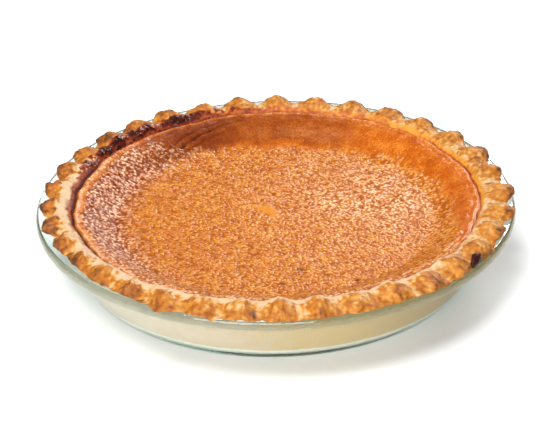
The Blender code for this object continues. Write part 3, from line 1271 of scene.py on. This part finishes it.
# %% [markdown]
# Four bubbles burst in front and left a pit each. Near the middle lies a bent
# smear, where a last drop of custard fell on the skin and set smooth, without
# blisters. Both are smooth bumps round one place, and the smear's is bent by
# adding the square of the way along it.

# %% Smear and pits
SMEAR_PLACE = (-5 * MM, 7 * MM)
SMEAR_SIZE = (8.5 * MM, 3.2 * MM)
SMEAR_TURN = math.radians(-46)

# Each pit: its distance from the axis, its azimuth in degrees and its width.
PITS = (
    (69 * MM, 272, 1.5 * MM),
    (57 * MM, 281, 1.3 * MM),
    (88 * MM, 262, 1.6 * MM),
    (77 * MM, 300, 1.1 * MM),
)


def smear_over(spots):
    """1 in the middle of the smooth smear of filling, and 0 away from it."""
    x = spots[:, 0] - SMEAR_PLACE[0]
    y = spots[:, 1] - SMEAR_PLACE[1]
    along = (x * math.cos(SMEAR_TURN) + y * math.sin(SMEAR_TURN)) / SMEAR_SIZE[0]
    across = (y * math.cos(SMEAR_TURN) - x * math.sin(SMEAR_TURN)) / SMEAR_SIZE[1]
    bent = across + 0.7 * along ** 2 - 0.3
    return np.exp(-(along ** 2 + bent ** 2) ** 1.5)


def pits_over(spots):
    """1 in the middle of each burst bubble, and 0 away from them."""
    sunk = np.zeros(len(spots))
    for radius, degrees, wide in PITS:
        x = spots[:, 0] - radius * math.cos(math.radians(degrees))
        y = spots[:, 1] - radius * math.sin(math.radians(degrees))
        sunk += np.exp(-(x ** 2 + y ** 2) / wide ** 2)
    return sunk


print("pits:", len(PITS))

# %% [markdown]
# The lip gets lumps of its own, where the filling caught on the pastry. Long low
# swells keep the sunk middle from being flat, as the custard set unevenly. Near
# the wall on the left the blisters stand highest, as the oven was hottest there.

# %% Blisters, swells and the lip's lumps
BLISTER_RISE = 0.26 * MM
SWELLS = ((28 * MM, 0.35 * MM), (9 * MM, 0.18 * MM), (3.6 * MM, 0.12 * MM))
LIP_LUMPS = ((3.5 * MM, 0.45 * MM, 4.5), (1.6 * MM, 0.25 * MM, 9.5))
SWOLLEN = (172, 40, 4)
SWELLING = 0.8


def rise_of_filling(spots, inset, azimuth, blister, calm):
    """Blisters, swells, and the lumps of the lip, in metres."""
    swollen = zone(azimuth, *SWOLLEN) * (1 - smooth_step(inset, 16 * MM, 32 * MM))
    rise = BLISTER_RISE * (1 + SWELLING * swollen) * blister * calm
    for length, size in SWELLS:
        rise += size * noise_over(spots, length, length * 1e4) * smooth_step(inset, 1 * MM, 9 * MM)
    for length, size, offset in LIP_LUMPS:
        rise += size * noise_over(spots, length, offset) * (1 - smooth_step(inset, 2 * MM, 6 * MM))
    return rise


print("a blister stands up to %.2f mm high" % (1000 * (1 + SWELLING) * BLISTER_RISE))

# %% [markdown]
# Everything is added up into one rise for each vertex, and only the top moves.
# Where the skin was stretched or worn off, little is left of the blisters. Last
# comes the dark groove beside the pastry. What the material will need is stored.

# %% Shape the filling's skin
SMEAR_RISE = 0.3 * MM
CREASE_DEPTH = 0.55 * MM
PIT_DEPTH = 0.7 * MM
GROOVE_DEPTH = 1.7 * MM
GROOVE = (203, 42, 4)
TIGHT = (80, 50, 4)
WORN = (200, 55, 4)
TOP_LOWEST = 25.5 * MM


def groove_of_filling(spots, inset, azimuth):
    """1 where the filling shrank away from the pastry, and 0 where it held."""
    shrunk = 0.1 - 0.1 * zone(azimuth, *TIGHT) + 0.9 * zone(azimuth, *GROOVE)
    ragged = 0.3 * MM * noise_over(spots, 5 * MM, 3.3)
    return shrunk * (1 - smooth_step(inset + ragged, 0.7 * MM, 1.6 * MM))


def shape_filling():
    """Moves the filling's top, and hands back what its colours need."""
    spots = places_of(filling)
    radius, azimuth = polar(spots)
    inset = filling_edge(azimuth)[0] - radius
    top = spots[:, 2] > TOP_LOWEST
    band = smooth_band(spots, inset, azimuth)
    smear = smear_over(spots)
    worn = zone(azimuth, *WORN) * (1 - smooth_step(inset, 3.5 * MM, 5.5 * MM))
    calm = (1 - 0.78 * band) * (1 - 0.8 * smear) * (1 - 0.8 * worn)
    blister = blisters(spots)
    crease = creases(spots, radius, azimuth)
    pit = pits_over(spots)
    rise = rise_of_filling(spots, inset, azimuth, blister, calm)
    rise += SMEAR_RISE * smear + CREASE_DEPTH * crease - PIT_DEPTH * pit
    skin_free = smooth_step(inset, 0.2 * MM, 1.2 * MM) * top
    spots[:, 2] += rise * skin_free
    shrunk = groove_of_filling(spots, inset, azimuth)
    spots[:, 2] -= GROOVE_DEPTH * shrunk * top
    move_to(filling, spots)
    # Folds, pits and the groove are stored for painted shade in the material.
    store(filling, "crease", np.clip(-1.3 * crease + pit, 0, 1) * skin_free)
    store(filling, "groove", shrunk)
    store(filling, "rough", np.clip(calm, 0, 1))
    store(filling, "blister", blister)
    store(filling, "smear", smear)
    return spots, azimuth, inset, band


filling_spots, filling_azimuth, filling_inset, filling_band = shape_filling()
print("filling is %.1f mm high at its lip" % (1000 * filling_spots[:, 2].max()))

# %% [markdown]
# The slope dried into a smooth burnt orange. Behind on the left, next to where the
# filling boiled over, it is painted darker, as the painted shadow of the rim on the
# slope, and a little further behind somewhat darker, as painted shade. On the far
# left the slope is painted red brown, as painted shade of the side turned away from
# the light. The lip gets a painted highlight. The blisters' pale tops are painted
# highlights, thickest on the right of the middle.

# %% Colour zones of the filling
# Painted shadow of the rim on the slope behind on the left, and painted shade a little further behind.
DARK = (117, 30, 2)
DARK_BEHIND = (90, 28, 4)
# Where the left slope, turned away from the light, gets a painted red-brown shade.
RED_BROWN_SHADE = (176, 46, 4)
FRONT_RIM = (262, 62, 4)
CLEAR_LIP = (75, 60, 4)
SPECKLED_LIP = (0, 45, 4)
# Painted highlights on the blister tops are thickest round this place.
GLINT_PLACE = (50 * MM, 18 * MM)
GLINT_REACH = 40 * MM


def painted_lip_highlight(fine):
    """1 on the raised lip, which gets a painted highlight and is widest where the skin wore off."""
    width = 0.9 * MM + 1.7 * MM * zone(filling_azimuth, *WORN)
    lip = np.exp(-((filling_inset - 1.0 * MM - width * 0.6) / width) ** 2)
    clear = zone(filling_azimuth, *CLEAR_LIP)
    speckled = zone(filling_azimuth, *SPECKLED_LIP)
    return lip * np.clip(0.8 + 0.2 * clear - 0.2 * speckled + (0.8 + 1.4 * speckled) * fine, 0, 1)


def zone_the_filling():
    """Stores the painted shadow and shade, the amber band, and the painted highlights on blister tops
    and on the lip.
    """
    uneven = noise_over(filling_spots, 11 * MM, 1.1)
    fine = noise_over(filling_spots, 4 * MM, 2.1)
    reach = filling_inset + 2.5 * MM * uneven + 1.5 * MM * fine
    slope = 1 - smooth_step(reach, 17 * MM, 23 * MM)
    # Painted shadow and shade on the slope behind, stored as dark.
    dark = slope * np.maximum(zone(filling_azimuth, *DARK), 0.66 * zone(filling_azimuth, *DARK_BEHIND))
    # Painted shade: red brown on the left slope, which faces away from the light.
    red_brown_shade = smooth_step(reach, 4 * MM, 7 * MM) * (1 - smooth_step(reach, 18 * MM, 34 * MM))
    red_brown_shade *= zone(filling_azimuth, *RED_BROWN_SHADE)
    rim = zone(filling_azimuth, *FRONT_RIM) * np.exp(-(reach / (8 * MM)) ** 2)
    across = np.hypot(filling_spots[:, 0] - GLINT_PLACE[0], filling_spots[:, 1] - GLINT_PLACE[1])
    # Painted highlights on the blister tops: most right of the middle, on the left and by the front
    # rim, none on the smooth band.
    painted_glint = 0.14 + 0.86 * np.exp(-(across / GLINT_REACH) ** 2) + 0.7 * red_brown_shade + 0.9 * rim
    painted_glint *= (1 - filling_band) * (1 + 0.7 * uneven + 0.3 * fine)
    store(filling, "painted_glint", np.clip(painted_glint, 0, 1))
    store(filling, "dark", dark)
    store(filling, "amber", filling_band)
    store(filling, "red_brown_shade", np.clip(red_brown_shade + 0.2 * rim, 0, 1))
    # Painted highlight along the filling's lip.
    store(filling, "lip", painted_lip_highlight(fine))
    print("share of the filling that is smooth amber: %.2f" % filling_band.mean())


zone_the_filling()

# %% [markdown]
# Baked custard is a skin of sugar and egg over orange flesh. Each zone of it has
# a ramp of three browns, and one noise picks the place on all the ramps, so that
# the marks run on from zone to zone. Clouds of 7 mm and specks of 0.9 mm are the
# fibres of the sweet potato under the skin.

# %% Colour of the custard
CUSTARD_CLOUD = 7 * MM
CUSTARD_SPECK = 0.9 * MM

# Each zone of the top: the darkest, the middle and the lightest of its colours.
ZONE_COLOURS = (
    ("amber", "#A04408", "#BC5C0E", "#D88430"),
    # Painted shade of the left slope.
    ("red_brown_shade", "#7A2E0E", "#984416", "#B8622C"),
    # Painted shadow and shade behind: the darkest browns.
    ("dark", "#5E220A", "#732C0D", "#863A14"),
    # Painted highlight along the lip.
    ("lip", "#A24E14", "#CA7638", "#E6A87A"),
)


def custard_colour(material, place):
    """Mottled orange flesh, with the zones' colours laid over it."""
    clouds = add(material, "TexNoise", {
        "Vector": place, "Scale": 1 / CUSTARD_CLOUD, "Detail": 4.0, "Roughness": 0.6,
    })
    specks = add(material, "TexNoise", {"Vector": place, "Scale": 1 / CUSTARD_SPECK, "Detail": 1.0})
    mottle = add(material, "Math", {
        0: specks.outputs["Fac"], 1: 0.8, 2: -0.4,
    }, operation="MULTIPLY_ADD")
    tone = add(material, "Math", {0: clouds.outputs["Fac"], 1: mottle.outputs[0]}, use_clamp=True)
    flesh = add(material, "ValToRGB", {"Fac": tone.outputs[0]}, stops=(
        (0.2, "#B45008"),
        (0.5, "#CB7612"),
        (0.8, "#E09A30"),
    ))
    colour = flesh.outputs["Color"]
    for name, darkest, middle, lightest in ZONE_COLOURS:
        tint = add(material, "ValToRGB", {"Fac": tone.outputs[0]}, stops=(
            (0.25, darkest),
            (0.5, middle),
            (0.75, lightest),
        ))
        share = add(material, "Attribute", attribute_name=name)
        mix = add(material, "Mix", {
            0: share.outputs["Fac"], 6: colour, 7: tint.outputs["Color"],
        }, data_type="RGBA")
        colour = mix.outputs[2]
    return colour


print("zones with colours of their own:", [row[0] for row in ZONE_COLOURS])

# %% [markdown]
# The hollows between the blisters get painted shade, twice: between the small
# cells of the bump below, and between the domes of the mesh. Where painted glints
# are wanted, a dome's top turns pale, but only its highest part: a painted
# highlight.

# %% Painted shade between the blisters and painted highlights on them
SMALL_BLISTER = 1.5 * MM


def blistered_colour(material, colour, rough, dome):
    """Paints shade into the custard's hollows and highlights on the tops of its blisters."""
    between = add(material, "Math", {
        0: dome.outputs[0], 1: rough.outputs["Fac"],
    }, operation="MULTIPLY", use_clamp=True)
    # Painted shade between the small cells of the bump.
    pitted = add(material, "Mix", {
        0: between.outputs[0], 6: colour, 7: linear("#8E4210"),
    }, data_type="RGBA")
    blister = add(material, "Attribute", attribute_name="blister")
    low = add(material, "Math", {
        0: blister.outputs["Fac"], 1: -2.4, 2: 0.95,
    }, operation="MULTIPLY_ADD", use_clamp=True)
    hollow = add(material, "Math", {
        0: low.outputs[0], 1: rough.outputs["Fac"],
    }, operation="MULTIPLY")
    # Painted shade in the hollows between the domes, darker in the red-brown painted shade on the
    # left.
    red_brown_share = add(material, "Attribute", attribute_name="red_brown_shade")
    depth = add(material, "Mix", {
        0: red_brown_share.outputs["Fac"], 6: linear("#9A4C14"), 7: linear("#66220C"),
    }, data_type="RGBA")
    sunk = add(material, "Mix", {
        0: hollow.outputs[0], 6: pitted.outputs[2], 7: depth.outputs[2],
    }, data_type="RGBA")
    raised = add(material, "Math", {
        0: blister.outputs["Fac"], 1: 2.8, 2: -1.5,
    }, operation="MULTIPLY_ADD", use_clamp=True)
    painted_glint = add(material, "Attribute", attribute_name="painted_glint")
    glint_top = add(material, "Math", {
        0: raised.outputs[0], 1: painted_glint.outputs["Fac"],
    }, operation="MULTIPLY")
    # Painted highlight: the top of a dome turns pale.
    pale = add(material, "Mix", {
        0: glint_top.outputs[0], 6: sunk.outputs[2], 7: linear("#F0C6A0"),
    }, data_type="RGBA")
    return pale.outputs[2]


print("small blisters on a square centimetre: about", round((10 * MM / SMALL_BLISTER) ** 2))

# %% [markdown]
# Custard is opaque and glossy. It looks wet, with a roughness of 0.22 among the
# blisters, and is duller on the dried slope, with 0.38. A bump of Voronoi cells
# 1.5 mm wide adds the blisters that are too small for the mesh. Creases, pits and
# the groove are painted dark, as painted shade where little light gets in, and the
# smear is plain orange.

# %% Filling material
SMALL_BLISTER_RISE = 0.45 * MM
SLOPE_ROUGHNESS = 0.38
BLISTER_ROUGHNESS = 0.22


def filling_material():
    """Baked sweet potato custard."""
    material, output = empty_material("baked sweet potato custard")
    place = add(material, "TexCoord").outputs["Object"]
    cells = add(material, "TexVoronoi", {"Vector": place, "Scale": 1 / SMALL_BLISTER})
    dome = add(material, "Math", {0: cells.outputs["Distance"], 1: 2.0}, operation="POWER")
    rough = add(material, "Attribute", attribute_name="rough")
    colour = blistered_colour(material, custard_colour(material, place), rough, dome)
    # Painted shade in the creases, pits and groove; the smear is the custard's own orange.
    for name, code in (("crease", "#451A0B"), ("groove", "#4A1A0C"), ("smear", "#CA7C10")):
        share = add(material, "Attribute", attribute_name=name)
        mix = add(material, "Mix", {
            0: share.outputs["Fac"], 6: colour, 7: linear(code),
        }, data_type="RGBA")
        colour = mix.outputs[2]
    bump = add(material, "Bump", {
        "Height": dome.outputs[0], "Distance": SMALL_BLISTER_RISE, "Strength": rough.outputs["Fac"],
    }, invert=True)
    gloss = add(material, "Math", {
        0: rough.outputs["Fac"], 1: BLISTER_ROUGHNESS - SLOPE_ROUGHNESS, 2: SLOPE_ROUGHNESS,
    }, operation="MULTIPLY_ADD")
    shader = add(material, "BsdfPrincipled", {
        "Base Color": colour,
        "Roughness": gloss.outputs[0],
        "Specular IOR Level": 0.26,
        "Specular Tint": linear("#FFD49C"),
        "Normal": bump.outputs["Normal"],
    })
    return finish_material(material, shader.outputs["BSDF"], output)


filling.data.materials.append(filling_material())
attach(filling, "root")
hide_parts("filling")

# %% [markdown]
# ## Boiled-over caramel
# Behind on the left the sugary filling boiled up the wall, ran together and
# burnt to a dark glossy crust of beads. It is a piece of its own, because it is
# another substance. Its sheet has to follow the rough pastry under it, so we ask
# Blender where the pastry is: a BVH tree answers which face a ray meets first.

# %% Where the pie's surface is
def tree_of(piece):
    """A search tree over a piece's triangles."""
    faces = [tuple(face.vertices) for face in piece.data.polygons]
    return BVHTree.FromPolygons(places_of(piece).tolist(), faces)


crust_tree = tree_of(crust)
filling_tree = tree_of(filling)


def surface_from(start, direction):
    """The first place on pastry or filling that a ray meets."""
    hits = [tree.ray_cast(start, direction) for tree in (crust_tree, filling_tree)]
    return min((hit for hit in hits if hit[0] is not None), key=lambda hit: hit[3])[0]


middle_of_filling = surface_from(Vector((0, 0, 1)), Vector((0, 0, -1)))
print("the middle of the filling is %.1f mm high" % (1000 * middle_of_filling.z))

# %% [markdown]
# The caramel is as thick as a noise says, thickest in the middle of the spill,
# with beads on the thick parts, where it bubbled and set. Where the noise goes
# below zero the sheet will dip under the pastry, so that its outline comes out as
# ragged as that of a real spill.

# %% How thick the caramel is
CARAMEL_MIDDLE = math.radians(133)
CARAMEL_LAYER = 0.45 * MM
BEAD_SPACING = 2.6 * MM
BEAD_RISE = 0.8 * MM


def caramel_thickness(place, azimuth, across):
    """How far the caramel stands above the pastry, below 0 where there is none."""
    away = math.degrees(azimuth - CARAMEL_MIDDLE)
    amount = 0.75 * math.exp(-(away / 27) ** 4) + 1.3 * math.exp(-(away / 38) ** 6) - 0.8
    amount += 1.0 * noise.noise(place / (5 * MM)) + 0.5 * noise.noise(place / (2 * MM))
    amount -= 3.6 * (across - 0.5) ** 2
    nearest = noise.voronoi(place / BEAD_SPACING)[0][0]
    bead = max(0.0, 1 - (nearest / 0.6) ** 2)
    return (amount - 0.45) * CARAMEL_LAYER + BEAD_RISE * bead * max(0.0, min(1.0, amount - 0.5))


print("beads of caramel %.1f mm apart" % (1000 * BEAD_SPACING))

# %% [markdown]
# The sheet is a grid of rays. Each is cast outwards and down on the brow, and the
# caramel lies where it lands. Its underside lies 0.6 mm deep in the pastry, as
# sugar soaks in. The thickness is stored too, for the colour.

# %% Caramel mesh
CARAMEL_START = math.radians(98)
CARAMEL_END = math.radians(186)
CARAMEL_STEPS = 420
CARAMEL_ROWS = 26
CARAMEL_INNER = (99.9 * MM, 37.6 * MM)
CARAMEL_OUTER = (106.7 * MM, 42.1 * MM)
THICKEST = 1.0 * MM
DEEPEST_DIP = -0.3 * MM
UNDERSIDE_DEPTH = 0.6 * MM


def make_caramel():
    """A sheet that follows the brow, and its thickness stored on it in mm."""
    loops = []
    depths = []
    for step in range(CARAMEL_STEPS + 1):
        azimuth = CARAMEL_START + (CARAMEL_END - CARAMEL_START) * step / CARAMEL_STEPS
        out = Vector((math.cos(azimuth), math.sin(azimuth), 0))
        aim = (out - Vector((0, 0, 1))).normalized()
        above = []
        below = []
        for row in range(CARAMEL_ROWS + 1):
            across = row / CARAMEL_ROWS
            radius = CARAMEL_INNER[0] + (CARAMEL_OUTER[0] - CARAMEL_INNER[0]) * across
            height = CARAMEL_INNER[1] + (CARAMEL_OUTER[1] - CARAMEL_INNER[1]) * across
            place = surface_from(out * radius + Vector((0, 0, height)) - 2 * MM * aim, aim)
            thick = min(THICKEST, max(DEEPEST_DIP, caramel_thickness(place, azimuth, across)))
            above.append(place - aim * thick)
            below.append(place + aim * UNDERSIDE_DEPTH)
            depths.append(thick / MM)
        loops.append(np.array(above + below[::-1]))
        depths += [0.0] * len(below)
    sheet = skin("boiled_over_caramel", loops, loops[0].mean(axis=0), loops[-1].mean(axis=0))
    store(sheet, "depth", np.array(depths + [0.0, 0.0]))
    return sheet


caramel = make_caramel()

# %% [markdown]
# Burnt sugar is a brown glass with an index of refraction of about 1.5. It is
# nearly black where it is thick and red where it is thin, so a colour ramp reads
# the thickness stored on the sheet. A low roughness of 0.2 gives the beads their
# small sharp lights, and ripples of 0.9 mm break them up.

# %% Caramel material
SUGAR_RIPPLE_LENGTH = 0.9 * MM
SUGAR_RIPPLE = 0.2 * MM


def caramel_material():
    """Sugar boiled until it is nearly black."""
    material, output = empty_material("burnt sugar caramel")
    place = add(material, "TexCoord").outputs["Object"]
    depth = add(material, "Attribute", attribute_name="depth")
    tone = add(material, "ValToRGB", {"Fac": depth.outputs["Fac"]}, stops=(
        (0.0, "#9C4824"),
        (0.25, "#66281A"),
        (0.7, "#321512"),
    ))
    ripple = add(material, "TexNoise", {
        "Vector": place, "Scale": 1 / SUGAR_RIPPLE_LENGTH, "Detail": 1.0,
    })
    bump = add(material, "Bump", {"Height": ripple.outputs["Fac"], "Distance": SUGAR_RIPPLE})
    shader = add(material, "BsdfPrincipled", {
        "Base Color": tone.outputs["Color"],
        "Roughness": 0.2,
        "Specular IOR Level": 0.2,
        "Specular Tint": linear("#F0C0A0"),
        "IOR": 1.5,
        "Normal": bump.outputs["Normal"],
    })
    return finish_material(material, shader.outputs["BSDF"], output)


burnt_sugar = caramel_material()
caramel.data.materials.append(burnt_sugar)
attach(caramel, "root")

# %% [markdown]
# ## A burnt drip
# One drop of the burnt sugar ran over the edge in front on the right. A drop is a
# row of rings threaded on a bent line. The line runs outwards over the dough and
# then hangs down, and the rings are widest in the middle. A little noise makes
# the drop lumpy.

# %% Drip mesh
DRIP_TURN = (325.0, 322.9)
DRIP_RINGS = 24
DRIP_SIDES = 28
DRIP_WIDE = 9.0 * MM
DRIP_THICK = 3.8 * MM
DRIP_LUMP = 1.5 * MM
DRIP_LUMP_RISE = 0.4 * MM
DRIP_DEPTH = 0.8

# Radius and height in mm along the drop, from the dough down over the edge.
DRIP_PATH = (
    (115.8, 39.4),
    (118.4, 39.0),
    (119.6, 37.5),
    (119.5, 35.0),
)


def make_drip():
    """A lumpy drop threaded on a line of radius and height."""
    shares = np.linspace(0, 1, DRIP_RINGS)
    knots = np.linspace(0, 1, len(DRIP_PATH))
    radii, heights = [np.interp(shares, knots, column) * MM for column in zip(*DRIP_PATH)]
    falls = np.arctan2(-np.gradient(heights), np.gradient(radii))
    loops = []
    for share, radius, height, fall in zip(shares, radii, heights, falls):
        azimuth = math.radians(DRIP_TURN[0] + (DRIP_TURN[1] - DRIP_TURN[0]) * share)
        out = Vector((math.cos(azimuth), math.sin(azimuth), 0))
        side = Vector((-out.y, out.x, 0))
        outside = out * math.sin(fall) + Vector((0, 0, math.cos(fall)))
        swell = math.sin(math.pi * (0.04 + 0.92 * share)) ** 0.8
        spots = []
        for number in range(DRIP_SIDES):
            angle = math.tau * number / DRIP_SIDES
            reach = side * math.cos(angle) * DRIP_WIDE / 2
            reach += outside * math.sin(angle) * DRIP_THICK / 2
            spot = out * radius + Vector((0, 0, height)) + reach * swell
            spot += reach.normalized() * DRIP_LUMP_RISE * swell * noise.noise(spot / DRIP_LUMP)
            spots.append(spot)
        loops.append(np.array(spots))
    return skin("burnt_sugar_drip", loops, loops[0].mean(axis=0), loops[-1].mean(axis=0))


burnt_drip = make_drip()
burnt_drip.data.materials.append(burnt_sugar)
store(burnt_drip, "depth", np.full(len(burnt_drip.data.vertices), DRIP_DEPTH))
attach(burnt_drip, "root")
